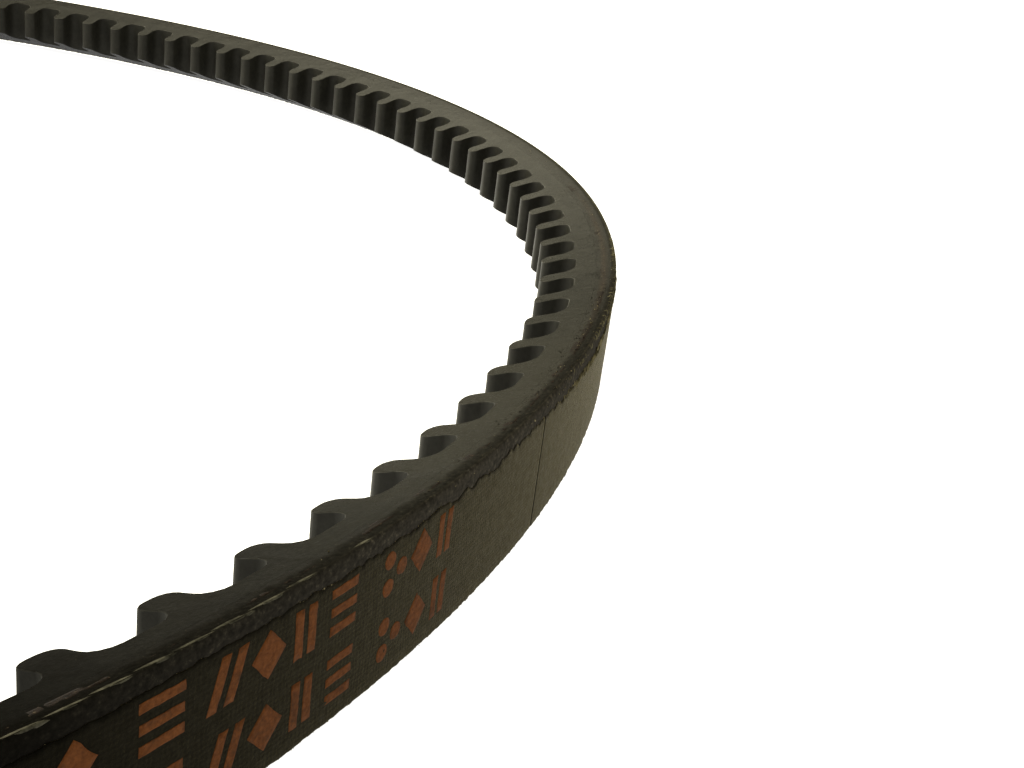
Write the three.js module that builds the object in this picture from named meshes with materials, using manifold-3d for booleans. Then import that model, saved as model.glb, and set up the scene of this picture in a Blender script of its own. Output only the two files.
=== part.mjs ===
// A raw-edge cogged V belt: an endless loop built up from vulcanised layers, lying on its side.
// Millimetres, +Z up. The origin is the centre of the loop, halfway across the belt's width.
// "Inset" is a depth measured from the belt's back towards the loop's axis.

import * as THREE from "three";
import { mergeVertices } from "three/addons/utils/BufferGeometryUtils.js";
import Module from "manifold-3d";

const wasm = await Module();
wasm.setup();

// The belt's section and length
const outsideLength = 940;
const topWidth = 10;
const sectionHeight = 7.25;
const flankAngle = 20; // degrees between a flank and the plane of the loop

// The cogs moulded across the inside
const cogCount = 130;
const cogDepth = 3.33;
const crestHalfWidth = 1.25;
const rootHalfWidth = 1.02;
const crestRound = 0.9;
const rootRound = 1.35;
const crestSteps = 2;
const rootSteps = 1;

// The layers, from the back inwards
const fabricInset = 0.38; // where the fabric ends and the overcord rubber begins
const overcordInset = 0.65; // where the overcord rubber ends and the cushion gum begins
const cordInset = 1.25; // the centre of the tension cord
const gumInset = 1.95; // where the cushion gum ends and the cogged base begins
const layerGap = 0.03;

// The tension cord, one helix wound across the width
const cordRadius = 0.45;
const cordClearance = 0.03;
const cordTurns = 5.9;
const cordSides = 5;
const cordEndMargin = 0.1; // how far inside a flank the cord's centre is where the cord ends
const cordEndAngle = -50; // degrees, where the last turn runs out through the upper flank

// The seam where the two ends of the fabric strip meet
const seamAngle = -80;
const seamWidth = 0.15;

const outerRadius = outsideLength / (2 * Math.PI);
const slope = Math.tan(THREE.MathUtils.degToRad(flankAngle));
const pitchAngle = (2 * Math.PI) / cogCount;
const floorInset = sectionHeight - cogDepth;
const margin = 1; // how far a cutting shape runs past what it cuts

// Half the belt's width at an inset, between its two sloping flanks.
function halfWidthAt(inset) {
  return topWidth / 2 - inset * slope;
}

// A closed geometry as a manifold solid.
function toSolid(geometry) {
  const plain = geometry.clone();
  plain.deleteAttribute("normal");
  plain.deleteAttribute("uv");
  const merged = mergeVertices(plain, 1e-4);
  return new wasm.Manifold(
    new wasm.Mesh({
      numProp: 3,
      vertProperties: new Float32Array(merged.attributes.position.array),
      triVerts: new Uint32Array(merged.index.array),
    }),
  );
}

// A manifold solid as a flat-shaded three.js geometry.
function toGeometry(solid) {
  const made = solid.getMesh();
  const shared = new THREE.BufferGeometry();
  shared.setAttribute("position", new THREE.BufferAttribute(made.vertProperties, 3));
  shared.setIndex(new THREE.BufferAttribute(made.triVerts, 1));
  const geometry = shared.toNonIndexed();
  geometry.computeVertexNormals();
  return geometry;
}

// A ring turned about Z from a closed profile of [radius, z] corners. It has one facet for each cog, and
// its edges lie over the grooves, the first of them on the X axis.
function turnedRing(profile) {
  const points = profile.map(([radius, z]) => new THREE.Vector2(radius, z));
  points.push(points[0].clone());
  // A lathe turns about Y and starts at Z, so its start is a quarter turn on from the X axis.
  const ring = new THREE.LatheGeometry(points, cogCount, Math.PI / 2);
  ring.rotateX(Math.PI / 2);
  return ring;
}

// The part of the belt's wedge section that lies between two insets, all the way round.
function layerRing(outerInset, innerInset) {
  const outer = outerRadius - outerInset;
  const inner = outerRadius - innerInset;
  return turnedRing([
    [inner, -halfWidthAt(innerInset)],
    [outer, -halfWidthAt(outerInset)],
    [outer, halfWidthAt(outerInset)],
    [inner, halfWidthAt(innerInset)],
  ]);
}

// A corner rounded off by an arc of a few steps, between two straight stretches of an outline.
function roundedCorner(before, corner, after, radius, steps) {
  const back = before.clone().sub(corner).normalize();
  const ahead = after.clone().sub(corner).normalize();
  const halfAngle = Math.acos(back.dot(ahead)) / 2;
  const centre = back.clone().add(ahead).setLength(radius / Math.sin(halfAngle)).add(corner);
  const start = back.multiplyScalar(radius / Math.tan(halfAngle)).add(corner);
  const sweep = (Math.PI - 2 * halfAngle) * Math.sign(start.clone().sub(corner).cross(ahead));
  const points = [];
  for (let step = 0; step <= steps; step++) {
    points.push(start.clone().rotateAround(centre, (-sweep * step) / steps));
  }
  return points;
}

// One pitch of the cogged outline, from groove centre to groove centre: x along the belt, y the inset.
function cogProfile() {
  const halfPitch = (pitchAngle * (outerRadius - sectionHeight)) / 2;
  const corners = [
    new THREE.Vector2(-halfPitch, floorInset),
    new THREE.Vector2(-rootHalfWidth, floorInset),
    new THREE.Vector2(-crestHalfWidth, sectionHeight),
    new THREE.Vector2(crestHalfWidth, sectionHeight),
    new THREE.Vector2(rootHalfWidth, floorInset),
    new THREE.Vector2(halfPitch, floorInset),
  ];
  const rounds = [
    { radius: rootRound, steps: rootSteps },
    { radius: crestRound, steps: crestSteps },
    { radius: crestRound, steps: crestSteps },
    { radius: rootRound, steps: rootSteps },
  ];
  return rounds.flatMap(({ radius, steps }, i) =>
    roundedCorner(corners[i], corners[i + 1], corners[i + 2], radius, steps),
  );
}

// The cogged inner outline of the belt, once round.
function cogOutline() {
  const profile = cogProfile();
  const along = outerRadius - sectionHeight;
  const points = [];
  for (let cog = 0; cog < cogCount; cog++) {
    const centre = (cog + 0.5) * pitchAngle;
    for (const { x, y } of profile) {
      const angle = centre + x / along;
      const radius = outerRadius - y;
      points.push(new THREE.Vector2(radius * Math.cos(angle), radius * Math.sin(angle)));
    }
  }
  return points;
}

// The compression rubber: a flat ring with the cogs cut into its hole, trimmed to the sloping flanks.
function coggedBase() {
  const shape = new THREE.Shape();
  shape.absarc(0, 0, outerRadius + margin, 0, 2 * Math.PI);
  shape.holes.push(new THREE.Path(cogOutline()));
  const flatRing = new THREE.ExtrudeGeometry(shape, {
    depth: topWidth,
    bevelEnabled: false,
    curveSegments: cogCount,
  });
  flatRing.translate(0, 0, -topWidth / 2);
  return toSolid(flatRing).intersect(toSolid(layerRing(gumInset + layerGap, sectionHeight + margin)));
}

// The line of the cord: a helix at one radius, rising from the lower flank to the upper one.
class CordLine extends THREE.Curve {
  constructor(extraTurns) {
    super();
    this.rise = 2 * (halfWidthAt(cordInset) - cordEndMargin);
    this.extra = extraTurns / cordTurns;
  }

  getPoint(t, target = new THREE.Vector3()) {
    const share = -this.extra + t * (1 + 2 * this.extra);
    const angle = THREE.MathUtils.degToRad(cordEndAngle) + (share - 1) * cordTurns * 2 * Math.PI;
    const radius = outerRadius - cordInset;
    return target.set(radius * Math.cos(angle), radius * Math.sin(angle), (share - 0.5) * this.rise);
  }
}

// A tube round the cord's line, with half as many steps to a turn as there are cogs.
function cordTube(radius, extraTurns) {
  const section = new THREE.Shape();
  for (let side = 0; side < cordSides; side++) {
    const angle = (side * 2 * Math.PI) / cordSides;
    const corner = [radius * Math.cos(angle), radius * Math.sin(angle)];
    if (side === 0) section.moveTo(...corner);
    else section.lineTo(...corner);
  }
  section.closePath();
  return new THREE.ExtrudeGeometry(section, {
    steps: Math.round(((cordTurns + 2 * extraTurns) * cogCount) / 2),
    bevelEnabled: false,
    extrudePath: new CordLine(extraTurns),
  });
}

// The largest body of a cut solid, without the feather-edged slivers that the cut leaves at the flanks.
function largestBody(solid) {
  return solid.decompose().reduce((best, body) => (body.volume() > best.volume() ? body : best));
}

// The fabric strip on the back, with the narrow seam where its two ends meet.
function backFabric() {
  const seam = new THREE.BoxGeometry(2 * fabricInset + margin, seamWidth, topWidth + margin);
  seam.translate(outerRadius, 0, 0);
  seam.rotateZ(THREE.MathUtils.degToRad(seamAngle));
  return toSolid(layerRing(0, fabricInset)).subtract(toSolid(seam));
}

// The cushion gum, with the tunnel in it that the cord fills and that comes out through both flanks.
function cushionGum() {
  const tunnel = toSolid(cordTube(cordRadius + cordClearance, 2 / cogCount));
  return largestBody(toSolid(layerRing(overcordInset + layerGap, gumInset)).subtract(tunnel));
}

// The tension cord, sliced off at the flanks where its first and last turns reach them.
function tensionCord() {
  return toSolid(cordTube(cordRadius, 0)).intersect(toSolid(layerRing(fabricInset, gumInset)));
}

const fabricMaterial = new THREE.MeshStandardMaterial({ color: 0x45413a, roughness: 0.95, metalness: 0 });
const gumMaterial = new THREE.MeshStandardMaterial({ color: 0x191816, roughness: 0.8, metalness: 0 });
const cordMaterial = new THREE.MeshStandardMaterial({ color: 0x9a8a66, roughness: 0.9, metalness: 0 });
const baseMaterial = new THREE.MeshStandardMaterial({ color: 0x34302a, roughness: 0.75, metalness: 0 });

const group = new THREE.Group();

// Adds one layer of the belt to the group as a named mesh.
function addLayer(name, solid, material) {
  const mesh = new THREE.Mesh(toGeometry(solid), material);
  mesh.name = name;
  group.add(mesh);
}

addLayer("back_fabric", backFabric(), fabricMaterial);
addLayer("overcord_rubber", toSolid(layerRing(fabricInset + layerGap, overcordInset)), gumMaterial);
addLayer("cushion_gum", cushionGum(), gumMaterial);
addLayer("tension_cord", tensionCord(), cordMaterial);
addLayer("cogged_base", coggedBase(), baseMaterial);

export default group;
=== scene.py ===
"""A raw-edge cogged V belt lying on its side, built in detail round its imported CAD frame. Metres, +Z up."""

import math

import bpy
import numpy as np
from mathutils import Matrix, Vector


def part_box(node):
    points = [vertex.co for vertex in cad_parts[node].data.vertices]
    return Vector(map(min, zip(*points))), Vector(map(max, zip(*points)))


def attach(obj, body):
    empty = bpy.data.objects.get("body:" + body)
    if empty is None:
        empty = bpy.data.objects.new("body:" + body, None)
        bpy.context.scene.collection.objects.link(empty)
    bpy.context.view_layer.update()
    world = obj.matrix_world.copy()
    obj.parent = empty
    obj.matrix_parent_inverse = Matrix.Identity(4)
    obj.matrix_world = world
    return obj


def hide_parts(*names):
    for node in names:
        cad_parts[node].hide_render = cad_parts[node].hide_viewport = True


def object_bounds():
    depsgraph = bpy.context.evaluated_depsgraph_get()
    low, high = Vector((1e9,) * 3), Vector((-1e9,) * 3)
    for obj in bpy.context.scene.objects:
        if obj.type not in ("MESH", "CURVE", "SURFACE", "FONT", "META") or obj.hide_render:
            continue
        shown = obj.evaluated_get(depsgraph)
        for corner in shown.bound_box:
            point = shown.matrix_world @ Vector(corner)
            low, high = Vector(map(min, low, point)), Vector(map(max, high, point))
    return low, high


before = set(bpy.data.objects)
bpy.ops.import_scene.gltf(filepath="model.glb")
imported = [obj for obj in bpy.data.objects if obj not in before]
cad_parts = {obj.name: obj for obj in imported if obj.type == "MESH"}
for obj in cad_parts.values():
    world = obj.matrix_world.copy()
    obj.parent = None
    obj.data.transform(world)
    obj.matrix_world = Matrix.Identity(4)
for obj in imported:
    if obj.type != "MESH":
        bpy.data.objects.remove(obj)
cad_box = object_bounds()

MM = 0.001
SEED = 940

# ---- The belt's driving dimensions in millimetres, read from the CAD frame or chosen to match it.
# An "inset" is a depth below the back.


def outer_radius(node):
    """A ring node's outer radius: the first facet edge of each ring lies on the X axis."""
    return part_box(node)[1].x / MM


def inner_radius(node):
    return min(math.hypot(v.co.x, v.co.y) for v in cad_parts[node].data.vertices) / MM


BACK_RADIUS = outer_radius("back_fabric")
HALF_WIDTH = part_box("back_fabric")[1].z / MM
OVERCORD_INSET = BACK_RADIUS - outer_radius("overcord_rubber")
GUM_INSET = BACK_RADIUS - outer_radius("cushion_gum")
BASE_INSET = BACK_RADIUS - outer_radius("cogged_base")
HEIGHT = BACK_RADIUS - inner_radius("cogged_base")
SLOPE = (HALF_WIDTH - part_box("cogged_base")[1].z / MM) / BASE_INSET
BACK_LENGTH = 2 * math.pi * BACK_RADIUS
SKIN = 0.012  # the gap that keeps one layer's surface off the next

COG_COUNT = 130
COG_DEPTH = 3.33
CREST_HALF_WIDTH = 1.25
ROOT_HALF_WIDTH = 1.02
CREST_ROUND = 0.9
ROOT_ROUND = 1.35

SEAM_ANGLE = -80  # degrees round the loop
SEAM_WIDTH = 0.16
CORD_RADIUS = 0.45
CORD_INSET = 1.25
CORD_TURNS = 5.9
CORD_END_ANGLE = -50
CORD_END_MARGIN = 0.1
CORD_LAY = 9.0  # the length in which the cord twists once round
YARN_END_PITCH = 0.30
COMB_MIDDLE = -70  # degrees round the loop, where the canvas's thread ends stand out like a comb
COMB_REACH = 20  # millimetres
COMB_FIRST = -78  # degrees round the loop, where the cut threads over the corner begin
COMB_LAST = -61  # degrees round the loop, where they end
COMB_PITCH = 0.40  # millimetres from thread to thread
WEAVE_PITCH = 0.44
CLOTH_SHEEN = 0.125
CLOTH_TINT = (1.0, 0.84, 0.33)
CLOTH_SPECULAR = 0.006
SHEEN_ROUGHNESS = 0.35
GROUND_SPECULAR = 0.004  # the ground rubber reflects little except at a glancing angle
TORN_MIDDLE = -84  # degrees round the loop, the middle of the stretch whose corner is torn
TORN_REACH = 30  # millimetres each way
TORN_FADE = 22  # millimetres over which it ends
TORN_MARGIN = 4.0  # millimetres added to the reach of its colour
TORN_WANDER = 16.0  # the most that the end of its colour wavers back, in millimetres
CLEAN_SHARE = 0.06  # how torn the corner still is elsewhere
CALM_MIDDLE = -104  # degrees round the loop, where the canvas's edge is even
CALM_REACH = 34  # millimetres
SHADE_MIDDLE = -106  # degrees round the loop, the middle of the stretch darkened with painted shade and dulled
SHADE_FULL = 27.0  # millimetres from there to where the painted shade starts to thin
SHADE_END = 62.0  # and to where it has gone
SHADE_WANDER = 14.0  # the most that both waver back
DUSTY_MIDDLE = -79  # degrees round the loop, where the flank below the torn corner is dusty
DARK_CORNER_MIDDLE = -100  # degrees round the loop, the middle of the stretch whose corner has no painted highlight
BROWN_MIDDLE = -63  # degrees round the loop, where a line of the cord's brown dip shows on the flank


def half_width_at(inset):
    """Half the belt's width at an inset, between its two sloping flanks."""
    return HALF_WIDTH - inset * SLOPE


def along_from(degrees, angle):
    """Millimetres along the belt from a place in degrees to angles in radians, the shorter way round."""
    away = (angle - math.radians(degrees) + math.pi) % (2 * math.pi) - math.pi
    return away * BACK_RADIUS


def share_near(degrees, reach, angle, sharpness=4):
    """From 1 at a place in degrees, falling to 0 past a reach in millimetres."""
    return np.exp(-((along_from(degrees, angle) / reach) ** sharpness))


# ---- Mesh helpers


def on_belt(angle, inset, z):
    """Points in metres from angles in radians, insets and heights in millimetres. The arrays broadcast."""
    angle, inset, z = np.broadcast_arrays(angle, inset, z)
    radius = BACK_RADIUS - inset
    return np.stack([radius * np.cos(angle), radius * np.sin(angle), z], axis=-1) * MM


class Relief:
    """Smooth random relief from -1 to 1 over the belt's surface. It repeats after one turn round the loop."""

    def __init__(self, seed, along_step, across_step):
        self.columns = max(4, round(BACK_LENGTH / along_step))
        self.across_step = across_step
        rows = round(4 * HALF_WIDTH / across_step) + 2
        self.lattice = np.random.default_rng(seed).uniform(-1, 1, (self.columns, rows))

    def __call__(self, angle, across):
        """The relief at angles in radians and at places across the belt, in millimetres."""
        angle, across = np.broadcast_arrays(angle, across)
        u = (angle / (2 * math.pi) % 1.0) * self.columns
        v = (across + 2 * HALF_WIDTH) / self.across_step
        i, j = np.floor(u).astype(int), np.floor(v).astype(int)
        s, t = u - i, v - j
        s, t = s * s * (3 - 2 * s), t * t * (3 - 2 * t)
        a, b = i % self.columns, (i + 1) % self.columns
        low = self.lattice[a, j] * (1 - s) + self.lattice[b, j] * s
        high = self.lattice[a, j + 1] * (1 - s) + self.lattice[b, j + 1] * s
        return low * (1 - t) + high * t


def new_piece(name, points, faces, materials, face_slots=None, closed=True, creases=None):
    """A smooth-shaded mesh object from points and arrays of faces. A closed mesh is turned to face outwards.
    creases is the length of the grid's rows, and the columns along which its shading breaks."""
    points = np.asarray(points, float).reshape(-1, 3)
    if closed:
        volume = 0.0
        for group in faces:
            corners = points[group]
            for k in range(1, group.shape[1] - 1):
                cross = np.cross(corners[:, k], corners[:, k + 1])
                volume += np.einsum("ij,ij->", corners[:, 0], cross)
        if volume < 0:
            faces = [group[:, ::-1] for group in faces]
    loops = np.concatenate([group.ravel() for group in faces]).astype(np.int32)
    sizes = np.concatenate([np.full(len(group), group.shape[1]) for group in faces])
    starts = np.concatenate([[0], np.cumsum(sizes)[:-1]]).astype(np.int32)
    mesh = bpy.data.meshes.new(name)
    mesh.vertices.add(len(points))
    mesh.vertices.foreach_set("co", points.astype(np.float32).ravel())
    mesh.loops.add(len(loops))
    mesh.loops.foreach_set("vertex_index", loops)
    mesh.polygons.add(len(sizes))
    mesh.polygons.foreach_set("loop_start", starts)
    mesh.polygons.foreach_set("use_smooth", np.ones(len(sizes), bool))
    for material in materials:
        mesh.materials.append(material)
    if face_slots is not None:
        mesh.polygons.foreach_set("material_index", np.asarray(face_slots, np.int32))
    mesh.update(calc_edges=True)
    if creases is not None:
        ends = np.empty(2 * len(mesh.edges), np.int32)
        mesh.edges.foreach_get("vertices", ends)
        columns = ends.reshape(-1, 2) % creases[0]
        sharp = (columns[:, 0] == columns[:, 1]) & np.isin(columns[:, 0], creases[1])
        mesh.edges.foreach_set("use_edge_sharp", sharp)
    piece = bpy.data.objects.new(name, mesh)
    bpy.context.scene.collection.objects.link(piece)
    return piece


def grid_faces(rows, columns, wrap_rows, wrap_columns):
    """Quads over a grid of points whose rows, columns or both close on themselves."""
    i, j = np.meshgrid(
        np.arange(rows if wrap_rows else rows - 1),
        np.arange(columns if wrap_columns else columns - 1),
        indexing="ij",
    )
    i, j = i.ravel(), j.ravel()
    i2, j2 = (i + 1) % rows, (j + 1) % columns
    return np.stack([i * columns + j, i2 * columns + j, i2 * columns + j2, i * columns + j2], axis=1)


def tube_faces(rows, sides):
    """Faces of a tube with flat ends."""
    k = np.arange(1, sides - 1)
    end = np.stack([np.zeros_like(k), k, k + 1], axis=1)
    return [grid_faces(rows, sides, False, True), np.concatenate([end, (end + (rows - 1) * sides)[:, ::-1]])]


def ribbon_faces(rows, width):
    """Faces of a ribbon. Each row holds its outer points, and then its inner points in reverse."""
    k = np.arange(width - 1)
    end = np.stack([k, k + 1, 2 * width - 2 - k, 2 * width - 1 - k], axis=1)
    far_end = (end + (rows - 1) * 2 * width)[:, ::-1]
    return [np.concatenate([grid_faces(rows, 2 * width, False, True), end, far_end])]


def repeated(faces, count, stride):
    """The faces of many like-made shapes whose points follow one another."""
    offsets = (np.arange(count) * stride)[:, None, None]
    return [(group[None] + offsets).reshape(-1, group.shape[1]) for group in faces]


def settle(piece, slot, *nodes):
    """Rides a piece on the belt's one body, and hides the CAD nodes it stands for. The slot is not used."""
    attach(piece, "root")
    if nodes:
        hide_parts(*nodes)


# ---- Materials


class Nodes:
    """A new procedural material whose nodes are added one call at a time."""

    def __init__(self, name):
        self.material = bpy.data.materials.new(name)
        self.material.use_nodes = True
        self.tree = self.material.node_tree
        self.shader = self.tree.nodes["Principled BSDF"]
        self.place = self.tree.nodes.new("ShaderNodeTexCoord").outputs["Object"]

    def feed(self, socket, value):
        """Links another socket to this one, or gives it a plain value."""
        if isinstance(value, bpy.types.NodeSocket):
            self.tree.links.new(value, socket)
        else:
            socket.default_value = value

    def add(self, kind, inputs=(), **settings):
        node = self.tree.nodes.new(kind)
        for name, value in settings.items():
            setattr(node, name, value)
        for key, value in dict(inputs).items():
            self.feed(node.inputs[key], value)
        return node

    def math(self, operation, a, b=0.0):
        return self.add("ShaderNodeMath", {0: a, 1: b}, operation=operation).outputs[0]

    def plus(self, a, b):
        return self.math("ADD", a, b)

    def less(self, a, b):
        return self.math("SUBTRACT", a, b)

    def times(self, a, b):
        return self.math("MULTIPLY", a, b)

    def noise(self, per_mm, detail=4.0, roughness=0.6):
        inputs = {"Vector": self.place, "Scale": per_mm / MM, "Detail": detail, "Roughness": roughness}
        return self.add("ShaderNodeTexNoise", inputs).outputs["Fac"]

    def ramp(self, value, stops):
        node = self.add("ShaderNodeValToRGB", {"Fac": value})
        elements = node.color_ramp.elements
        while len(elements) < len(stops):
            elements.new(0.5)
        for element, (position, colour) in zip(elements, stops):
            element.position = position
            element.color = (*colour, 1.0)
        return node.outputs["Color"]

    def mix(self, share, a, b):
        node = self.add("ShaderNodeMix", data_type="RGBA")
        for index, value in ((0, share), (6, a), (7, b)):
            self.feed(node.inputs[index], (*value, 1.0) if isinstance(value, tuple) else value)
        return node.outputs[2]

    def range(self, value, low, high, to_low=0.0, to_high=1.0):
        inputs = {"Value": value, "From Min": low, "From Max": high, "To Min": to_low, "To Max": to_high}
        return self.add("ShaderNodeMapRange", inputs).outputs["Result"]

    def fade(self, value, full, none, share=1.0):
        """A share that holds up to one value, and falls to nothing at another."""
        return self.range(value, full, none, share, 0.0)

    def round_belt(self):
        """Sockets with the place round the belt, the place across it and the inset, in millimetres."""
        split = self.add("ShaderNodeSeparateXYZ", {0: self.place})
        x, y, z = (split.outputs[axis] for axis in "XYZ")
        around = self.times(self.math("ARCTAN2", y, x), BACK_RADIUS)
        across = self.times(z, 1 / MM)
        squares = self.plus(self.times(x, x), self.times(y, y))
        inset = self.less(BACK_RADIUS, self.times(self.math("SQRT", squares), 1 / MM))
        return around, across, inset

    def away(self, around, degrees):
        """How far a place round the belt is from one given in degrees, in millimetres."""
        return self.math("ABSOLUTE", self.less(around, math.radians(degrees) * BACK_RADIUS))

    def shade_and_dull_share(self, around):
        """From 1 along the stretch of the belt that is darkened with painted shade and made duller, to 0
        elsewhere.
        """
        wavering = self.plus(self.away(around, SHADE_MIDDLE), self.times(self.noise(0.1, 3.0), SHADE_WANDER))
        return self.fade(wavering, SHADE_FULL, SHADE_END)

    def finish(self, colour, roughness, height, bump_mm, specular, sheen=0.0, tint=(1, 1, 1)):
        """Feeds the shader, and gives the finished material."""
        bump = self.add("ShaderNodeBump", {"Height": height, "Distance": bump_mm * MM, "Strength": 1.0})
        surface = {
            "Base Color": colour,
            "Roughness": roughness,
            "Specular IOR Level": specular,
            "Sheen Weight": sheen,
            "Sheen Roughness": SHEEN_ROUGHNESS,
            "Sheen Tint": (*tint, 1.0),
            "Normal": bump.outputs["Normal"],
        }
        for name, value in surface.items():
            self.feed(self.shader.inputs[name], value)
        return self.material


def canvas_material():
    """Rubber-filled canvas, woven on the bias, nearly black face on and olive-grey at a glancing angle."""
    m = Nodes("rubberised_canvas")
    around, across, _ = m.round_belt()
    turn = 2 * math.pi / WEAVE_PITCH / math.sqrt(2)
    wander = m.times(m.noise(0.8, 2.0), 0.5)
    warp = m.math("SINE", m.times(m.plus(m.plus(around, across), wander), turn))
    weft = m.math("SINE", m.times(m.less(m.plus(around, wander), across), turn))
    weave = m.times(warp, weft)
    fibre = m.noise(5.5, 5.0, 0.75)
    cloud = m.noise(0.15, 4.0, 0.6)
    coarse = m.noise(2.0, 4.0, 0.75)
    speck = m.noise(8.0, 2.0, 0.5)
    shade_and_dull = m.shade_and_dull_share(around)

    threads = m.ramp(m.plus(m.times(weave, 0.06), fibre), [
        (0.3, (0.005, 0.0045, 0.0037)),
        (0.5, (0.011, 0.0100, 0.0081)),
        (0.75, (0.027, 0.0243, 0.0195)),
    ])
    cloudy = m.mix(m.range(cloud, 0.35, 0.7, 0.0, 0.7), threads, (0.011, 0.0099, 0.0080))
    mottled = m.mix(m.range(coarse, 0.42, 0.62, 0.0, 0.6), cloudy, (0.024, 0.0215, 0.0165))
    specked = m.mix(m.range(speck, 0.66, 0.75, 0.0, 0.5), mottled, (0.055, 0.047, 0.026))
    # Painted shade: along one stretch of the loop the canvas's colour goes nearly black.
    colour = m.mix(m.times(shade_and_dull, 0.9), specked, (0.0012, 0.0011, 0.0009))

    roughness = m.plus(m.range(fibre, 0.3, 0.8, 0.0, 0.12), m.range(coarse, 0.35, 0.65, 0.46, 0.34))
    roughness = m.plus(roughness, m.times(shade_and_dull, 0.12))
    height = m.plus(m.times(weave, 0.14), fibre)
    return m.finish(colour, roughness, height, 0.032, CLOTH_SPECULAR, CLOTH_SHEEN, CLOTH_TINT)


def ground_material(name, dark, pale, speck_colour, rough):
    """Ground fibre-filled rubber. Along one stretch of the loop it is torn and black towards the back."""
    m = Nodes(name)
    around, _, inset = m.round_belt()
    grain = m.noise(3.2, 5.0, 0.7)
    cloud = m.noise(0.3, 4.0, 0.6)
    speck = m.noise(6.5, 2.0, 0.5)
    ragged = m.times(m.less(m.noise(0.9, 4.0, 0.65), 0.5), 1.1)
    shade_and_dull = m.shade_and_dull_share(around)

    def ragged_inset(share):
        return m.plus(inset, m.times(ragged, share))

    # Clouded rubber, dusty below the torn corner
    base = m.ramp(grain, [(0.3, dark), (0.7, pale)])
    cloudy = m.mix(m.range(cloud, 0.4, 0.7, 0.0, 0.6), base, tuple(0.75 * c for c in dark))
    dusty = m.mix(m.fade(m.away(around, DUSTY_MIDDLE), 6.0, 26.0, 0.55), cloudy, (0.020, 0.019, 0.0155))

    # The corner, lightened with a painted highlight except along its dark stretch
    along_highlight = m.range(m.away(around, DARK_CORNER_MIDDLE), 84.0, 104.0)
    wear_and_highlight = m.times(along_highlight, m.fade(ragged_inset(0.2), 0.12, 0.50))
    highlighted = m.mix(wear_and_highlight, dusty, (0.070, 0.064, 0.044))
    speckled = m.mix(m.range(speck, 0.67, 0.76, 0.0, 0.6), highlighted, speck_colour)

    # The torn stretch, blacker on the flank than on the back
    torn_side = m.ramp(grain, [
        (0.35, (0.004, 0.0038, 0.0032)),
        (0.60, (0.011, 0.0103, 0.0087)),
        (0.80, (0.045, 0.040, 0.030)),
    ])
    torn_back = m.ramp(grain, [
        (0.36, (0.017, 0.0156, 0.0134)),
        (0.58, (0.036, 0.0326, 0.0272)),
        (0.80, (0.11, 0.098, 0.073)),
    ])
    wavering = m.plus(m.away(around, TORN_MIDDLE), m.times(m.noise(0.12, 3.0), TORN_WANDER))
    fade_start = TORN_REACH + TORN_MARGIN
    along_torn = m.range(wavering, fade_start, fade_start + TORN_FADE, 1.0, CLEAN_SHARE)
    torn = m.times(m.fade(m.plus(inset, ragged), 1.0, 1.6), along_torn)
    black = m.mix(m.fade(ragged_inset(0.15), 0.12, 0.40), torn_side, torn_back)
    patched = m.mix(torn, speckled, black)

    # The line of brown dip, level with the cord
    brown = m.ramp(speck, [
        (0.55, (0.016, 0.0095, 0.0065)),
        (0.63, (0.028, 0.020, 0.013)),
        (0.72, (0.20, 0.17, 0.11)),
    ])
    off_line = m.math("ABSOLUTE", m.less(ragged_inset(0.3), CORD_INSET))
    along_brown = m.fade(m.away(around, BROWN_MIDDLE), 12.0, 34.0, 0.6)
    dipped = m.mix(m.times(along_brown, m.fade(off_line, 0.0, 0.42)), patched, brown)
    # Painted shade: along one stretch of the loop the ground rubber's colour goes nearly black. The same
    # share also dulls it below.
    colour = m.mix(m.times(shade_and_dull, 0.85), dipped, (0.0015, 0.0014, 0.0012))

    dulled = m.plus(m.times(torn, 0.38), m.fade(inset, 0.35, 0.70, 0.45))
    dulled = m.plus(dulled, m.times(shade_and_dull, 0.22))
    roughness = m.plus(m.plus(dulled, m.range(grain, 0.3, 0.7, 0.04, -0.04)), rough)
    specular = m.range(shade_and_dull, 0.0, 1.0, GROUND_SPECULAR, 0.3 * GROUND_SPECULAR)
    return m.finish(colour, roughness, grain, 0.016, specular)


def moulded_material():
    """The moulded skin of the cogs, smoother and greyer than the ground flanks."""
    m = Nodes("moulded_rubber")
    around, _, _ = m.round_belt()
    grain = m.noise(1.6, 5.0, 0.6)
    cloud = m.noise(0.25, 4.0, 0.6)
    shade_and_dull = m.shade_and_dull_share(around)
    base = m.ramp(grain, [(0.3, (0.0095, 0.0093, 0.0077)), (0.7, (0.0160, 0.0156, 0.0127))])
    cloudy = m.mix(m.range(cloud, 0.4, 0.7, 0.0, 0.6), base, (0.0065, 0.0062, 0.0051))
    # Painted shade: along one stretch of the loop the cogs' colour goes darker.
    colour = m.mix(m.times(shade_and_dull, 0.75), cloudy, (0.0025, 0.0024, 0.002))
    roughness = m.plus(m.range(cloud, 0.3, 0.7, 0.40, 0.52), m.times(shade_and_dull, 0.3))
    return m.finish(colour, roughness, grain, 0.025, m.range(shade_and_dull, 0.0, 1.0, 0.10, 0.03))


def cord_material():
    """Twisted polyester yarn, dipped reddish brown and sliced through where it meets a flank."""
    m = Nodes("cord_yarn")
    strand = m.noise(3.6, 5.0, 0.75)
    colour = m.ramp(strand, [
        (0.40, (0.004, 0.003, 0.0026)),
        (0.60, (0.012, 0.008, 0.0062)),
        (0.76, (0.10, 0.082, 0.055)),
    ])
    return m.finish(colour, 0.4, strand, 0.03, GROUND_SPECULAR)


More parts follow.
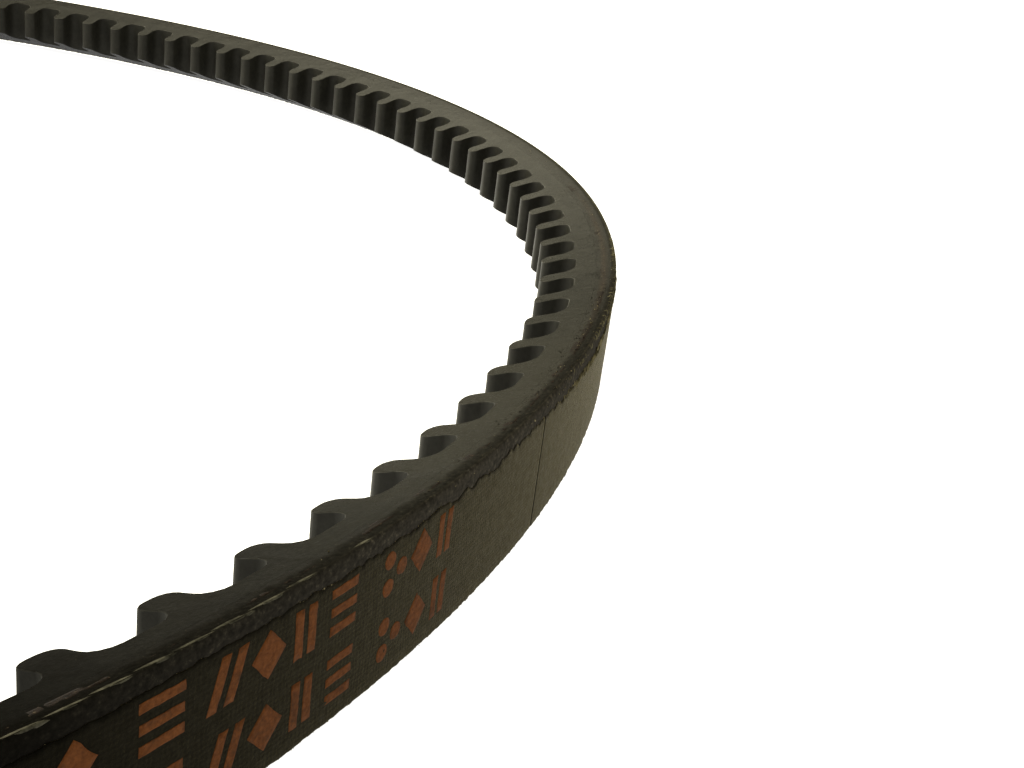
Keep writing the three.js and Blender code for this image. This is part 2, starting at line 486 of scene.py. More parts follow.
def ink_material():
    """Dull orange ink, worn thin over the canvas."""
    m = Nodes("orange_ink")
    wear_and_highlight = m.noise(1.1, 5.0, 0.65)
    grain = m.noise(4.0, 4.0, 0.7)
    ink = m.ramp(grain, [(0.3, (0.055, 0.018, 0.005)), (0.7, (0.115, 0.040, 0.012))])
    colour = m.mix(m.range(wear_and_highlight, 0.52, 0.76, 0.0, 0.8), ink, (0.018, 0.012, 0.007))
    return m.finish(colour, 0.75, grain, 0.04, 0.04)


def fibre_material(name, dark, pale, sheen=0.0):
    """Yarn whose tone changes from fibre to fibre."""
    m = Nodes(name)
    tone = m.noise(1.3, 3.0, 0.6)
    colour = m.ramp(tone, [(0.35, dark), (0.65, pale)])
    return m.finish(colour, 0.9, m.noise(8.0, 2.0), 0.01, GROUND_SPECULAR, sheen, CLOTH_TINT)


# ---- The ground flanks, one surface over three layers

UPPER, LOWER = 0, 1
ground_fine = [Relief(seed, 0.5, 0.5) for seed in (11, 12)]
ground_broad = [Relief(seed, 3.0, 2.0) for seed in (31, 32)]
tear_fine = [Relief(seed, 0.32, 0.28) for seed in (41, 42)]
tear_broad = [Relief(seed, 1.1, 0.9) for seed in (51, 52)]
tear_depth = Relief(61, 2.6, 4.0)


def torn_share(angle):
    """From 1 where the belt's corner is torn to a small share where it was ground clean."""
    away = np.abs(along_from(TORN_MIDDLE, angle))
    return CLEAN_SHARE + (1 - CLEAN_SHARE) * np.clip((TORN_REACH + TORN_FADE - away) / TORN_FADE, 0, 1)


def flank_height(side, angle, inset):
    """How far a flank stands from the middle of the belt. The torn rubber fades out towards the cogs."""
    ground = 0.012 * ground_fine[side](angle, inset) + 0.020 * ground_broad[side](angle, inset)
    fade = np.clip((1.75 + 0.2 * tear_depth(angle, 0) - inset) / 0.7, 0, 1) ** 2
    tear = 0.016 * tear_fine[side](angle, inset) + 0.018 * tear_broad[side](angle, inset) - 0.012
    return half_width_at(inset) + ground + tear * fade * torn_share(angle)


# ---- The cogged base

CUT_EDGE = 0.03  # how far the edge between a flank and the cogs is rounded off
CORNER_STEPS = 4  # chords in each rounded corner of a cog
MID_FLOOR = 0.86  # the share of half a pitch where a groove's floor has one more point
CREST_SPREAD = 0.7  # the share of a crest's spacing that is left where it joins the flank's outer edge


def arc_corner(before, corner, after, radius, steps):
    """The points of a corner rounded by an arc, from one straight stretch to the next."""
    back = (before - corner) / np.linalg.norm(before - corner)
    ahead = (after - corner) / np.linalg.norm(after - corner)
    half = math.acos(float(back @ ahead)) / 2
    centre = corner + (back + ahead) / np.linalg.norm(back + ahead) * radius / math.sin(half)
    start = corner + back * radius / math.tan(half) - centre
    end = corner + ahead * radius / math.tan(half) - centre
    sweep = math.atan2(start[0] * end[1] - start[1] * end[0], float(start @ end))
    turns = np.linspace(0, sweep, steps + 1)
    turned = np.array([-start[1], start[0]])
    return [centre + math.cos(t) * start + math.sin(t) * turned for t in turns]


def cog_profile():
    """One pitch of the cogged outline: places along the crest circle and insets in millimetres, and the
    place on the flank's outer edge that each point is joined to."""
    half_pitch = math.pi * (BACK_RADIUS - HEIGHT) / COG_COUNT
    floor = HEIGHT - COG_DEPTH
    mid_floor = MID_FLOOR * half_pitch
    corners = np.array([
        (-half_pitch, floor),
        (-ROOT_HALF_WIDTH, floor),
        (-CREST_HALF_WIDTH, HEIGHT),
        (CREST_HALF_WIDTH, HEIGHT),
        (ROOT_HALF_WIDTH, floor),
        (half_pitch, floor),
    ])
    rounds = [ROOT_ROUND, CREST_ROUND, CREST_ROUND, ROOT_ROUND]
    points = [np.array([-half_pitch, floor]), np.array([-mid_floor, floor])]
    for k, radius in enumerate(rounds):
        points += arc_corner(*corners[k : k + 3], radius, CORNER_STEPS)
    points.append(np.array([mid_floor, floor]))
    points = np.array(points)
    on_crest = points[:, 1] > HEIGHT - 1.5 * CREST_ROUND
    joined = np.where(on_crest, CREST_SPREAD, 1.0) * points[:, 0]
    return points[:, 0], points[:, 1], joined


def inward_normals(x, y, pitch):
    """Unit normals of a repeating outline, pointing into the rubber, which lies towards smaller insets."""
    before_x, after_x = np.roll(x, 1), np.roll(x, -1)
    before_x[0] -= pitch
    after_x[-1] += pitch
    tangent = np.stack([after_x - before_x, np.roll(y, -1) - np.roll(y, 1)], axis=1)
    tangent /= np.linalg.norm(tangent, axis=1)[:, None]
    return tangent[:, 1], -tangent[:, 0]


def cogged_base(flank, moulded):
    """The compression rubber: ground flanks, and round cogs moulded across its inside."""
    x, y, joined = cog_profile()
    crest_radius = BACK_RADIUS - HEIGHT
    pitch_angle = 2 * math.pi / COG_COUNT
    normal_x, normal_y = inward_normals(x, y, pitch_angle * crest_radius)

    def all_round(values):
        return np.tile(values, COG_COUNT)[:, None]

    centre = np.repeat((np.arange(COG_COUNT) + 0.5) * pitch_angle, len(x))[:, None]
    edge_angle = centre + all_round(x) / crest_radius
    edge_inset = all_round(y)
    cut_angle = edge_angle + all_round(normal_x) * CUT_EDGE / crest_radius
    cut_inset = edge_inset + all_round(normal_y) * CUT_EDGE
    top_angle = centre + all_round(joined) / crest_radius
    top_inset = BASE_INSET + SKIN

    share = np.array([0, 0.06, 0.15, 0.26, 0.38, 0.50, 0.62, 0.74, 0.85, 0.94, 1.0])[None, :]
    angle = top_angle + (cut_angle - top_angle) * share
    inset = top_inset + (cut_inset - top_inset) * share
    sides = [flank_height(side, angle, inset) for side in (UPPER, LOWER)]
    face = np.array([1.0, 0.98, 0.66, 0.33, 0, -0.33, -0.66, -0.98, -1.0])[None, :]
    face_z = (half_width_at(edge_inset) - CUT_EDGE) * face
    skin = 0.02 * Relief(13, 2.2, 1.6)(edge_angle, face_z)
    face_angle = np.broadcast_to(edge_angle, face_z.shape)

    angles = np.concatenate([angle, face_angle, angle[:, ::-1]], axis=1)
    insets = np.concatenate([inset, edge_inset + skin, inset[:, ::-1]], axis=1)
    heights = np.concatenate([sides[0], face_z, -sides[1][:, ::-1]], axis=1)
    stations, section = angles.shape
    column = np.tile(np.arange(section), stations)
    is_moulded = (column >= share.size - 1) & (column < share.size + face.size)
    faces = grid_faces(stations, section, True, True)
    points = on_belt(angles, insets, heights)
    last_face = share.size + face.size - 1
    creases = (section, [0, share.size - 1, share.size, last_face, last_face + 1, section - 1])
    piece = new_piece("cogged_rubber", points, [faces], [flank, moulded], is_moulded, creases=creases)
    settle(piece, "base_rubber", "cogged_base")


# ---- The layers above the base

STRIP_STATIONS = 5500  # cross-sections round the loop
GUM_STATIONS = 4100
EDGE_HEIGHT = 3.78  # how high the canvas's ragged edge lies
EDGE_DIP = -74  # degrees round the loop, where it lies lowest
EDGE_DIP_DEPTH = 0.7
EDGE_DIP_REACH = 9  # millimetres
canvas_broad = Relief(31, 7.0, 3.0)
canvas_fine = Relief(32, 0.55, 0.5)
strip_fine = Relief(33, 0.30, 0.28)
strip_broad = Relief(34, 1.0, 0.8)
edge_slow = Relief(35, 9.0, 4.0)
edge_ragged = Relief(36, 2.3, 4.0)
edge_fine = Relief(38, 0.6, 4.0)
edge_teeth = Relief(37, 0.3, 4.0)


def canvas_inset(angle, z):
    """The inset of the canvas's outer surface."""
    return 0.03 + 0.014 * canvas_broad(angle, z) + 0.010 * canvas_fine(angle, z)


def comb_share(angle):
    """From 1 where the canvas's thread ends stand out like a comb to 0 elsewhere."""
    return share_near(COMB_MIDDLE, COMB_REACH, angle)


def calm_share(angle):
    """From 1 where the canvas's edge is still even to 0 elsewhere."""
    return share_near(CALM_MIDDLE, CALM_REACH, angle)


def canvas_edge(angle):
    """How high the canvas reaches: a ragged line, where the corner was ground away."""
    dip = EDGE_DIP_DEPTH * share_near(EDGE_DIP, EDGE_DIP_REACH, angle, 2)
    rough = 0.24 * edge_ragged(angle, 0) + 0.26 * edge_fine(angle, 0)
    rough = rough + (0.16 + 0.12 * comb_share(angle)) * edge_teeth(angle, 0)
    return EDGE_HEIGHT - dip + 0.12 * edge_slow(angle, 0) + rough * (1 - 0.7 * calm_share(angle))


def canvas_foot(angle):
    """How low the canvas reaches, just short of the lower corner."""
    return -HALF_WIDTH + 0.13 + (0.05 + 0.12 * comb_share(angle)) * edge_teeth(angle, 2.0)


def strip_relief(angle, across):
    """How far the ground black rubber stands out along the corners."""
    return torn_share(angle) * (0.016 * strip_fine(angle, across) + 0.022 * strip_broad(angle, across))


# The ground-down upper corner, by distance over it from the back (negative) to the flank (positive)
CORNER_PLACE = [-0.60, -0.30, -0.12, 0.0, 0.14, 0.34, 0.54]
CORNER_INSET = [0.08, 0.10, 0.15, 0.23, 0.36, 0.52, GUM_INSET]


def corner_height(inset, place):
    if place > 0:
        return half_width_at(inset)
    return half_width_at(CORNER_INSET[3]) + place


CORNER_Z = [corner_height(inset, place) for inset, place in zip(CORNER_INSET, CORNER_PLACE)]


def on_corner(place):
    """The inset and height at a distance over the upper corner."""
    return np.interp(place, CORNER_PLACE, CORNER_INSET), np.interp(place, CORNER_PLACE, CORNER_Z)


def overcord_rubber(material):
    """The black rubber under the canvas, which comes up to the back along both corners."""
    angle = np.linspace(0, 2 * math.pi, STRIP_STATIONS, endpoint=False)[:, None]
    edge = canvas_edge(angle)
    ones = np.ones_like(angle)
    rise_z = np.concatenate([edge - 0.55, edge - 0.02, edge + 0.03], axis=1)
    rise_inset = np.array([OVERCORD_INSET, 0.175, 0.095])[None, :] * ones
    corner_inset = np.array(CORNER_INSET)[None, :] * ones
    corner_z = np.array(CORNER_Z)[None, :] * ones
    flank_insets = [GUM_INSET, 0.50, 0.32]
    foot_inset = np.array([*flank_insets, 0.17, 0.12, OVERCORD_INSET])[None, :] * ones
    foot_z = -np.array([*(half_width_at(inset) for inset in flank_insets), 4.86, 4.74, 4.52])[None, :] * ones
    insets = np.concatenate([rise_inset, corner_inset, foot_inset], axis=1)
    heights = np.concatenate([rise_z, corner_z, foot_z], axis=1)
    covered = (insets > OVERCORD_INSET - 0.01) & (np.abs(heights) < 4.6)
    rough = np.where(covered, 0.0, strip_relief(angle, heights))
    place = np.array([-1.0] * 3 + CORNER_PLACE + [1.0] * len(flank_insets) + [-1.0] * 3)[None, :]
    on_flank = np.clip(place / 0.3, 0, 1)
    flanks = np.where(heights > 0, flank_height(UPPER, angle, insets), -flank_height(LOWER, angle, insets))
    rounded = heights + 0.3 * rough * np.sign(heights)
    points = on_belt(angle, insets - rough * (1 - on_flank), rounded * (1 - on_flank) + flanks * on_flank)
    faces = grid_faces(*points.shape[:2], True, True)
    joint = 2 + len(CORNER_PLACE)
    creases = (points.shape[1], [joint, joint + 1])
    piece = new_piece("overcord_strip", points, [faces], [material], creases=creases)
    settle(piece, "gum_rubber", "overcord_rubber")


def cushion_gum(material):
    """The gum band round the cord, torn rough where the belt was cut from its sleeve."""
    angle = np.linspace(0, 2 * math.pi, GUM_STATIONS, endpoint=False)[:, None]
    first, last = GUM_INSET + SKIN, BASE_INSET
    across = np.linspace(first, last, 12)[None, :]
    sides = [flank_height(side, angle, across) for side in (UPPER, LOWER)]
    insets = np.broadcast_to(np.concatenate([across, across[:, ::-1]], axis=1), (len(angle), 2 * across.size))
    heights = np.concatenate([sides[0], -sides[1][:, ::-1]], axis=1)
    points = on_belt(angle, insets, heights)
    faces = grid_faces(*points.shape[:2], True, True)
    section = 2 * across.size
    creases = (section, [0, across.size - 1, across.size, section - 1])
    piece = new_piece("gum_band", points, [faces], [material], creases=creases)
    settle(piece, "gum_rubber", "cushion_gum")


def back_canvas(material):
    """The canvas strip: it runs from seam to seam, and thins out towards its ragged upper edge."""
    seam = math.radians(SEAM_ANGLE)
    half_gap = SEAM_WIDTH / 2 / BACK_RADIUS
    angle = np.linspace(seam + half_gap, seam + 2 * math.pi - half_gap, STRIP_STATIONS)[:, None]
    top, foot = canvas_edge(angle), canvas_foot(angle)
    share = np.array([0, 0.012, 0.12, 0.34, 0.58, 0.80, 0.92, 0.975, 1.0])[None, :]
    heights = foot + (top - foot) * share
    thinning = np.clip((heights - (top - 0.5)) / 0.5, 0, 1)
    outer = canvas_inset(angle, heights) + 0.04 * thinning**2 + 0.03 * (share == 0)
    inner = OVERCORD_INSET - SKIN - (OVERCORD_INSET - SKIN - 0.12) * thinning
    points = on_belt(
        angle,
        np.concatenate([outer, inner[:, ::-1]], axis=1),
        np.concatenate([heights, heights[:, ::-1]], axis=1),
    )
    piece = new_piece("canvas_back", points, ribbon_faces(STRIP_STATIONS, share.size), [material])
    settle(piece, "back_fabric", "back_fabric")


def tension_cord(material):
    """One twisted cord, wound as a helix, and sliced flush where its ends reach the flanks."""
    steps = round(CORD_TURNS * 720)
    sides = 12
    share = np.linspace(0, 1, steps + 1)[:, None]
    rise = 2 * (half_width_at(CORD_INSET) - CORD_END_MARGIN)
    angle = math.radians(CORD_END_ANGLE) + (share - 1) * CORD_TURNS * 2 * math.pi
    around = (np.arange(sides) * 2 * math.pi / sides)[None, :]
    twist = angle * BACK_RADIUS / CORD_LAY * 2 * math.pi
    radius = CORD_RADIUS * (0.90 + 0.10 * np.abs(np.cos(1.5 * (around + twist / 3))))
    insets = CORD_INSET - radius * np.cos(around)
    limit = half_width_at(insets) - 0.015
    heights = np.clip((share - 0.5) * rise + radius * np.sin(around), -limit, limit)
    points = on_belt(angle, insets, heights)
    piece = new_piece("sliced_cord", points, tube_faces(steps + 1, sides), [material])
    settle(piece, "cord_yarn", "tension_cord")


# ---- Loose ends and wear: yarn ends, fibres, crumbs and pale streaks


def hairs(name, material, start, run, bend, radius, sides):
    """Short tapered hairs. start, run and bend are (along, inset, z) in millimetres, one row a hair."""
    place = np.array([0.0, 0.4, 0.8, 1.0])[None, :, None]
    taper = np.array([1.0, 0.9, 0.7, 0.25])[None, :, None, None]
    line = start[:, None] + run[:, None] * place + bend[:, None] * place**2
    ahead = run / np.linalg.norm(run, axis=1)[:, None]
    side = np.cross(ahead, np.array([0.3, 1.0, 0.2]))
    side /= np.linalg.norm(side, axis=1)[:, None]
    other = np.cross(ahead, side)
    turn = (np.arange(sides) * 2 * math.pi / sides)[None, None, :, None]
    ring = np.cos(turn) * side[:, None, None] + np.sin(turn) * other[:, None, None]
    points = line[:, :, None] + taper * radius[:, None, None, None] * ring
    flat = points.reshape(-1, 3)
    faces = repeated(tube_faces(4, sides), len(start), 4 * sides)
    piece = new_piece(name, on_belt(flat[:, 0] / BACK_RADIUS, flat[:, 1], flat[:, 2]), faces, [material])
    settle(piece, "back_fabric")


def yarn_ends(material):
    """The cut ends of the canvas's threads: a comb along its ragged upper edge, and stubs along its foot."""
    rng = np.random.default_rng(SEED + 50)
    count = round(BACK_LENGTH / YARN_END_PITCH)
    along = (np.arange(count) + rng.uniform(-0.2, 0.2, count)) * YARN_END_PITCH
    comb = comb_share(along / BACK_RADIUS)
    lean = np.where(np.arange(count) % 2 == 0, 1, -1) * rng.uniform(0.01, 0.10, count)
    standing = np.where(np.arange(count) % 2 == 0, 0.75, 0.08)
    reach = 0.02 + 0.08 * rng.random(count) + standing * comb * rng.uniform(0.4, 1.0, count)
    top, foot = canvas_edge(along / BACK_RADIUS), canvas_foot(along / BACK_RADIUS)
    upper = np.stack([along - lean, 0.125 - 0.01 * comb, top - 0.22], axis=1)
    upper_run = np.stack([lean * 1.2, -0.01 - 0.10 * comb, reach + 0.20], axis=1)
    lower = np.stack([along + 0.15, np.full(count, 0.10), foot + 0.15], axis=1)
    lower_run = np.stack([lean, np.zeros(count), -0.15 - 0.12 * rng.random(count)], axis=1)
    start = np.concatenate([upper, lower])
    run = np.concatenate([upper_run, lower_run])
    both = 2 * count
    bend = np.stack([rng.uniform(-0.04, 0.04, both), rng.uniform(0.0, 0.03, both), np.zeros(both)], axis=1)
    radius = rng.uniform(0.045, 0.085, both) + 0.045 * np.concatenate([comb, np.zeros(count)])
    radius = radius * (1 - 0.6 * np.tile(calm_share(along / BACK_RADIUS), 2))
    hairs("yarn_ends", material, start, run, bend, radius, 4)


def comb_threads(material):
    """Pale cut threads side by side over the upper corner, from the canvas's edge on to the flank."""
    rng = np.random.default_rng(SEED + 53)
    stretch = COMB_LAST - COMB_FIRST
    count = round(math.radians(stretch) * BACK_RADIUS / COMB_PITCH)
    along = (np.arange(count) + rng.uniform(-0.2, 0.2, count)) * COMB_PITCH
    angle = math.radians(COMB_FIRST) + along / BACK_RADIUS
    far = np.clip((np.degrees(angle) - COMB_FIRST) / stretch, 0, 1)
    kept = rng.random(count) < 0.55 + 0.40 * far
    angle, far = angle[kept], far[kept]
    count = len(angle)
    low = -0.55 + rng.uniform(0.0, 0.30, count)
    high = low + rng.uniform(0.20, 0.45, count) + far * rng.uniform(0.1, 0.55, count)
    half = rng.uniform(0.045, 0.085, count)
    rows, width = 9, 4
    share = np.linspace(0, 1, rows)[None, :, None]
    across = np.linspace(-1, 1, width)[None, None, :]
    place = low[:, None, None] + (high - low)[:, None, None] * share
    inset, z = on_corner(place)
    past = np.maximum(place - CORNER_PLACE[-1], 0)
    inset = inset + past  # the threads past the ground corner run on down the flank
    z = np.where(past > 0, half_width_at(inset), z)
    thick = half[:, None, None] * np.sqrt(np.clip(1 - (2 * share - 1) ** 4, 0.05, 1))
    slant = 0.04 * rng.uniform(-1, 1, count)[:, None, None] * share
    turn = angle[:, None, None] + (thick * across + slant) / BACK_RADIUS
    lift = 0.04 * (1 - 0.8 * across**2) * (0.3 + 0.7 * np.sin(share * math.pi))
    on_flank = np.clip(place / 0.3, 0, 1)
    outer = on_belt(turn, inset - lift * (1 - on_flank), z + lift * (0.3 + 0.7 * on_flank))
    inner = on_belt(turn, inset + 0.05 * (1 - on_flank), z - 0.05)
    points = np.concatenate([outer, inner[:, :, ::-1]], axis=2).reshape(-1, 3)
    faces = repeated(ribbon_faces(rows, width), count, rows * 2 * width)
    settle(new_piece("comb_threads", points, faces, [material]), "back_fabric")


def corner_fibres(material):
    """Fine frayed fibres along both corners of the back."""
    rng = np.random.default_rng(SEED + 51)
    count = 1600
    upper = rng.random(count) < 0.7
    along = past_calm(rng.uniform(0, BACK_LENGTH, count))
    place = rng.uniform(-0.55, 0.4, count)
    inset, z = on_corner(place)
    top = canvas_edge(along / BACK_RADIUS)
    on_edge = rng.random(count) < 0.35
    inset = np.where(on_edge, 0.10, inset)
    z = np.where(on_edge, top, z)
    z = np.where(upper, z, -4.78)
    inset = np.where(upper, inset, 0.12)
    start = np.stack([along, inset + 0.02, z], axis=1)
    heading = rng.uniform(0, 2 * math.pi, count)
    length = 0.16 + 0.5 * rng.random(count) ** 2
    out = rng.uniform(0.05, 0.6, count)
    run = np.stack([np.cos(heading) * length, -out * length * 0.5, np.sin(heading) * length * 0.6], axis=1)
    bend = rng.uniform(-0.1, 0.1, (count, 3))
    bend[:, 1] = rng.uniform(-0.01, 0.06, count)
    hairs("corner_fibres", material, start, run, bend, rng.uniform(0.012, 0.024, count), 3)


def past_calm(along):
    """Places along the belt, with those on the calm stretch moved on past it."""
    return np.where(calm_share(along / BACK_RADIUS) > 0.5, along + 3 * CALM_REACH, along)


def crumbs(name, material, seed, count, pick):
    """Crumbs of torn rubber and yarn. pick gives their insets and heights from angles and a generator."""
    rng = np.random.default_rng(seed)
    along = rng.uniform(0, BACK_LENGTH, count)
    gathered = rng.random(count) < 0.25
    along = np.where(gathered, math.radians(COMB_MIDDLE - 4) * BACK_RADIUS + rng.normal(0, 12, count), along)
    along = past_calm(along)
    inset, z = pick(along / BACK_RADIUS, rng)
    size = 0.02 + 0.06 * rng.random(count) ** 2
    ends = np.array([(1, 0, 0), (0, 1, 0), (-1, 0, 0), (0, -1, 0), (0, 0, 1), (0, 0, -1)], float)
    stretch = rng.uniform(0.6, 1.5, (count, 6, 1)) * np.array([1.3, 0.8, 1.0])
    centre = np.stack([along, inset, z], axis=1)
    flat = (centre[:, None] + ends[None] * stretch * size[:, None, None]).reshape(-1, 3)
    sides = np.array([(k, (k + 1) % 4, 4) for k in range(4)] + [((k + 1) % 4, k, 5) for k in range(4)])
    faces = repeated([sides], count, 6)
    piece = new_piece(name, on_belt(flat[:, 0] / BACK_RADIUS, flat[:, 1], flat[:, 2]), faces, [material])
    settle(piece, "gum_rubber")


def pick_band(angle, rng):
    """On the gum band of either flank, and thinly on the rubber below it."""
    inset = GUM_INSET + rng.beta(1.6, 2.2, angle.shape) * 2.0
    side = np.where(rng.random(angle.shape) < 0.7, 1, -1)
    return inset, side * (half_width_at(inset) + 0.005)


def pick_strip(angle, rng):
    """On the ground corner strip and along the canvas's edge."""
    place = rng.uniform(-0.6, 0.5, angle.shape)
    inset, z = on_corner(place)
    z_edge = canvas_edge(angle) + rng.normal(0, 0.12, angle.shape)
    on_edge = rng.random(angle.shape) < 0.6
    return np.where(on_edge, 0.10, inset - 0.02), np.where(on_edge, z_edge, z)


def pick_dip(angle, rng):
    """Flecks on the upper flank, level with the cord."""
    inset = rng.normal(CORD_INSET, 0.12, angle.shape)
    return inset, half_width_at(inset) + 0.01


STREAKED = ((-112.0, -91.5), (38.0, 51.0), (140.0, 158.0), (222.0, 229.0))  # from and to, in degrees
LAST_STREAK = (-89.75, 0.62)  # where a lone short streak starts, and its length, in degrees


def corner_streaks(material):
    """Pale streaks along the upper corner. Each slants over it from flank to back."""
    rng = np.random.default_rng(SEED + 52)
    starts = []
    for first, last in STREAKED:
        angle = first
        while angle < last:
            length = rng.uniform(0.70, 1.05)
            starts.append((angle, length))
            angle += length * rng.uniform(0.92, 1.05)
    starts.append(LAST_STREAK)
    rows, width = 14, 5
    share = np.linspace(0, 1, rows)[:, None]
    across = np.linspace(-1, 1, width)[None, :]
    points = []
    for start, length in starts:
        half = rng.uniform(0.15, 0.22) * np.sin((0.04 + 0.92 * share) * math.pi) ** 0.7
        middle = rng.uniform(0.12, 0.22) - 0.20 * share
        place = middle + half * across
        turn = np.radians(start + length * (share - 0.06 * across))
        inset, z = on_corner(place)
        lift = 0.035 * (1 - across**2) * np.sin(share * math.pi) - 0.008
        outer = on_belt(turn, inset - lift, z + 0.5 * lift)
        inner = on_belt(turn, inset + 0.06, z - 0.06)
        points.append(np.concatenate([outer, inner[:, ::-1]], axis=1).reshape(-1, 3))
    faces = repeated(ribbon_faces(rows, width), len(starts), rows * 2 * width)
    piece = new_piece("corner_streaks", np.concatenate(points), faces, [material])
    settle(piece, "cord_yarn")


# ---- The printed marks: two equal rows of plain bars, dots and diamonds

MARK_LIFT = 0.012  # how far the ink stands off the canvas
MARK_HEIGHT = 2.80
ROW_BOTTOMS = (0.60, -3.60)  # the height of each row's lower edge across the belt


def bar(left, right, bottom=0.0, top=1.0, lean=0.0):
    """A bar's corners: places along the row in millimetres, and shares of the row's height."""
    return "bar", [(left, bottom), (right, bottom), (right + lean, top), (left + lean, top)]


def diamond(left, right):
    middle = (left + right) / 2
    return "bar", [(middle, 0.0), (right, 0.5), (middle, 1.0), (left, 0.5)]


def dot(x, y, radius):
    """A round dot's surrounding square, which ink_patch rounds off."""
    tall = radius / MARK_HEIGHT
    left, right, bottom, top = x - radius, x + radius, y - tall, y + tall
    return "dot", [(left, bottom), (right, bottom), (right, top), (left, top)]


def stack(left, right):
    """Three level bars, one over another."""
    return [bar(left, right, 0.0, 0.2), bar(left, right, 0.4, 0.6), bar(left, right, 0.8, 1.0)]


# Where each mark starts, in degrees round the loop, and its shapes
MARKS = [
    (-103.9, stack(0, 2.2)),
    (-102.7, [bar(0, 0.6), bar(1.0, 1.6)]),
    (-101.6, [diamond(0, 2.2)]),
    (-99.9, [dot(0.6, 0.2, 0.5), dot(0.6, 0.8, 0.5), dot(1.9, 0.5, 0.5)]),
    (-98.7, [bar(0, 0.6, lean=0.8), bar(1.1, 1.7, lean=0.8)]),
    (-97.2, [diamond(0, 2.3)]),
    (-95.5, stack(0, 2.6)),
    (-94.0, [bar(0, 0.65, lean=0.9), bar(1.1, 1.75, lean=0.9)]),
    (-92.9, [diamond(0, 2.5)]),
    (-91.7, [bar(0, 0.65), bar(1.0, 1.65)]),
    (-90.6, stack(0, 2.2)),
    (-88.8, [dot(0.6, 0.2, 0.54), dot(0.6, 0.8, 0.54), dot(1.9, 0.5, 0.54)]),
    (-87.7, [diamond(0, 2.4)]),
    (-86.5, [bar(0, 0.62), bar(1.0, 1.62)]),
]


def printed_marks(material):
    """Thin raised ink that follows the canvas's own relief."""
    steps = 8
    u, v = np.meshgrid(np.linspace(0, 1, steps), np.linspace(0, 1, steps), indexing="ij")
    points = []
    for bottom in ROW_BOTTOMS:
        for start, shapes in MARKS:
            for form, corners in shapes:
                points.append(ink_patch(form, np.array(corners), math.radians(start), bottom, u, v))
    faces = repeated(ribbon_faces(steps, steps), len(points), 2 * steps * steps)
    piece = new_piece("printed_marks", np.concatenate(points), faces, [material])
    settle(piece, "marking_ink")


def ink_patch(form, corners, start, bottom, u, v):
    """The points of one patch of ink, over the square of u and v from 0 to 1."""
    if form == "dot":
        a, b = 2 * u - 1, 2 * v - 1
        u = (a * np.sqrt(1 - b * b / 2) + 1) / 2
        v = (b * np.sqrt(1 - a * a / 2) + 1) / 2
    weights = np.stack([(1 - u) * (1 - v), u * (1 - v), u * v, (1 - u) * v], axis=-1)
    flat = weights @ corners
    angle = start + flat[..., 0] / BACK_RADIUS
    z = bottom + flat[..., 1] * MARK_HEIGHT
    rough = 0.03 * canvas_fine(angle * 1.7, z)
    surface = canvas_inset(angle, z)
    outer = on_belt(angle + rough / BACK_RADIUS, surface - MARK_LIFT, z + rough)
    inner = on_belt(angle + rough / BACK_RADIUS, surface + 0.03, z + rough)
    return np.concatenate([outer, inner[:, ::-1]], axis=1).reshape(-1, 3)


# ---- Stage, camera and light

FLOOR_GLOW = 0.95
FLOOR_DROP = 0.00005  # metres that the floor lies below the CAD box
CAMERA_HEADING, CAMERA_TILT, CAMERA_ROLL = 26.32, -20.99, -7.60  # degrees
CAMERA_LENS = 44.7  # millimetres, on a sensor 36 mm wide
CAMERA_PLACE = (-0.04823, -0.18109, 0.03717)
WARM = (1.0, 0.94, 0.70)
WORLD_STRENGTH = 0.3
# Each lamp's name, place (azimuth and elevation in degrees, distance in metres), size and power
LAMPS = [
    ("top", (-50, 72, 2.0), 1.8, 22),
    ("back", (104, 36, 2.0), 2.0, 95),
    ("key", (40, 26, 1.2), 0.7, 8.8),
]


def floor():
    """A plain white table, lit from below so that the belt throws no shadow on it."""
    size, steps = 30.0, 24
    line = np.linspace(-size / 2, size / 2, steps + 1)
    x, y = np.meshgrid(line, line, indexing="ij")
    z = np.full_like(x, cad_box[0].z - FLOOR_DROP)
    m = Nodes("pale_floor")
    tone = m.add("ShaderNodeTexNoise", {"Vector": m.place, "Scale": 3.0, "Detail": 2.0}).outputs["Fac"]
    colour = m.ramp(tone, [(0.3, (0.60, 0.60, 0.595)), (0.7, (0.62, 0.62, 0.62))])
    material = m.finish(colour, 0.9, tone, 0.01, 0.2)
    m.shader.inputs["Emission Color"].default_value = (1.0, 1.0, 1.0, 1.0)
    m.shader.inputs["Emission Strength"].default_value = FLOOR_GLOW
    points = np.stack([x, y, z], axis=-1)
    faces = grid_faces(steps + 1, steps + 1, False, False)
    new_piece("floor", points, [faces], [material], closed=False)


def toward(azimuth, elevation, distance):
    """The point at a distance from the origin, in a direction given in degrees."""
    a, e = math.radians(azimuth), math.radians(elevation)
    return distance * Vector((math.cos(e) * math.cos(a), math.cos(e) * math.sin(a), math.sin(e)))


def camera():
    """The camera close over the belt's front, turned right, tilted down and rolled a little."""
    heading, roll = math.radians(CAMERA_HEADING), math.radians(CAMERA_ROLL)
    forward = toward(CAMERA_HEADING, CAMERA_TILT, 1.0)
    level_right = Vector((math.sin(heading), -math.cos(heading), 0))
    level_up = level_right.cross(forward)
    up = math.cos(roll) * level_up + math.sin(roll) * level_right
    right = forward.cross(up)
    data = bpy.data.cameras.new("camera")
    data.sensor_fit = "HORIZONTAL"
    data.sensor_width = 36
    data.lens = CAMERA_LENS
    data.clip_start = 0.002
    data.clip_end = 20
    view = bpy.data.objects.new("camera", data)
    place = Matrix((right, up, -forward)).transposed().to_4x4()
    place.translation = CAMERA_PLACE
    view.matrix_world = place
    bpy.context.scene.collection.objects.link(view)
    bpy.context.scene.camera = view


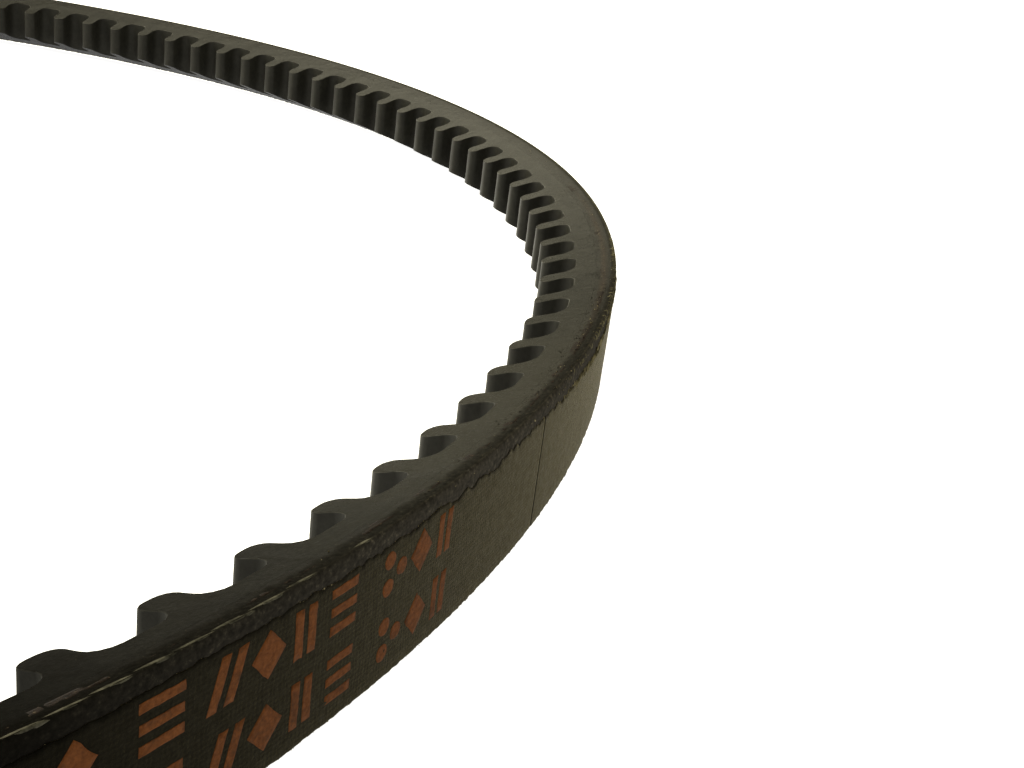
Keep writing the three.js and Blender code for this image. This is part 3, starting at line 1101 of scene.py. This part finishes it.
def area_light(name, place, size, power):
    """A soft round lamp aimed at the middle of the loop."""
    data = bpy.data.lights.new(name, "AREA")
    data.shape = "DISK"
    data.size = size
    data.energy = power
    data.color = WARM
    lamp = bpy.data.objects.new(name, data)
    lamp.location = place
    lamp.rotation_mode = "QUATERNION"
    lamp.rotation_quaternion = (-place).to_track_quat("-Z", "Y")
    bpy.context.scene.collection.objects.link(lamp)


def light():
    world = bpy.data.worlds.new("studio")
    world.use_nodes = True
    sky = world.node_tree.nodes["Background"]
    sky.inputs["Color"].default_value = (*WARM, 1.0)
    sky.inputs["Strength"].default_value = WORLD_STRENGTH
    bpy.context.scene.world = world
    bpy.context.scene.view_settings.view_transform = "Standard"
    for name, place, size, power in LAMPS:
        area_light(name, toward(*place), size, power)


# ---- The whole

camera()
light()
floor()

flank_tones = ((0.006, 0.0058, 0.0047), (0.013, 0.0124, 0.0099), (0.045, 0.041, 0.030))
gum_tones = ((0.006, 0.0056, 0.0046), (0.013, 0.0120, 0.0096), (0.06, 0.052, 0.035))
flank = ground_material("ground_rubber", *flank_tones, 0.26)
gum = ground_material("black_gum", *gum_tones, 0.28)
cogged_base(flank, moulded_material())
cushion_gum(gum)
overcord_rubber(gum)
back_canvas(canvas_material())
tension_cord(cord_material())
printed_marks(ink_material())
yarn_ends(fibre_material("yarn_ends", (0.010, 0.009, 0.005), (0.16, 0.14, 0.080), CLOTH_SHEEN))
comb_threads(fibre_material("cut_threads", (0.022, 0.020, 0.013), (0.13, 0.118, 0.075), CLOTH_SHEEN))
corner_fibres(fibre_material("frayed_fibres", (0.005, 0.0045, 0.0035), (0.06, 0.055, 0.035)))
pale_yarn = fibre_material("pale_crumbs", (0.02, 0.017, 0.011), (0.24, 0.21, 0.13))
crumbs("pale_crumbs", pale_yarn, 61, 520, pick_strip)
crumbs("dip_flecks", pale_yarn, 63, 110, pick_dip)
crumbs("dark_crumbs", gum, 62, 900, pick_band)
corner_streaks(fibre_material("pale_streaks", (0.012, 0.0115, 0.009), (0.062, 0.059, 0.046)))
